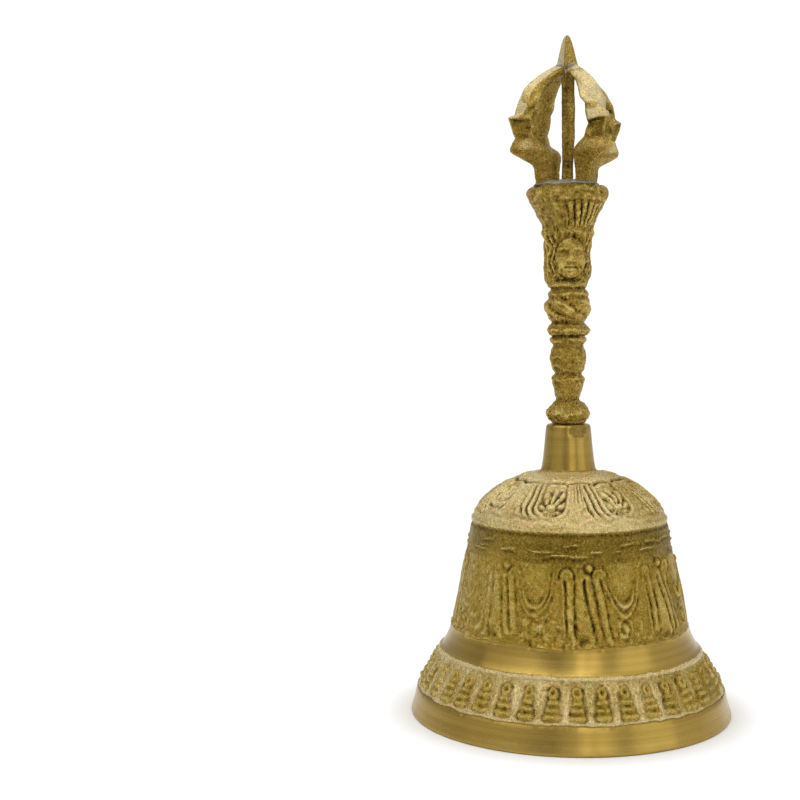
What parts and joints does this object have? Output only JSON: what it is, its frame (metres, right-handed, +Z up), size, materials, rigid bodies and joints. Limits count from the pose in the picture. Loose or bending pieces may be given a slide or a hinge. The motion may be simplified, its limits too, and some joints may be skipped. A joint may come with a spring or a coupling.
{
  "type": "tibetan bell",
  "caption": "Brass hand bell with a relief-cast shell, turned bands, a baluster handle with a pronged crown, and a swinging clapper inside.",
  "frame": {"origin": "centre of the mouth's rim plane, on the table under the axis", "axes": "+Z up along the bell's axis from the mouth to the spike; -Y is the front, +X the viewer's right"},
  "size_m": [0.081, 0.081, 0.1706],
  "materials": {
    "turned_brass": "lathe-turned bands, sand-cast relief",
    "cast_brass": "rough sand-cast, wiped",
    "solder": "dull grey soft solder",
    "steel": "plain zinc-dull steel",
    "iron": "dark forged iron",
    "clapper_brass": "turned, dulled"
  },
  "bodies": {
    "bell": {"bell_body": "turned_brass", "handle_stem": "cast_brass", "centre_prong": "cast_brass", "prong_front": "cast_brass", "prong_right": "cast_brass", "prong_back": "cast_brass", "prong_left": "cast_brass", "crown_solder": "solder", "cup_solder": "solder", "eye_bolt": "steel", "crown_washer": "steel", "hex_nut": "steel"},
    "link": {"clapper_link": "steel"},
    "clapper": {"clapper_rod": "iron", "clapper_bob": "clapper_brass"}
  },
  "joints": [
    {"name": "link_turn", "type": "hinge", "parent": "bell", "child": "link", "pos_m": [0, 0, 0.0435], "axis": [0, 0, 1], "range_deg": [-30, 30]},
    {"name": "clapper_swing", "type": "hinge", "parent": "link", "child": "clapper", "pos_m": [0, 0, 0.0378], "axis": [0, 1, 0], "range_deg": [-50.8, 50.8]}
  ]
}
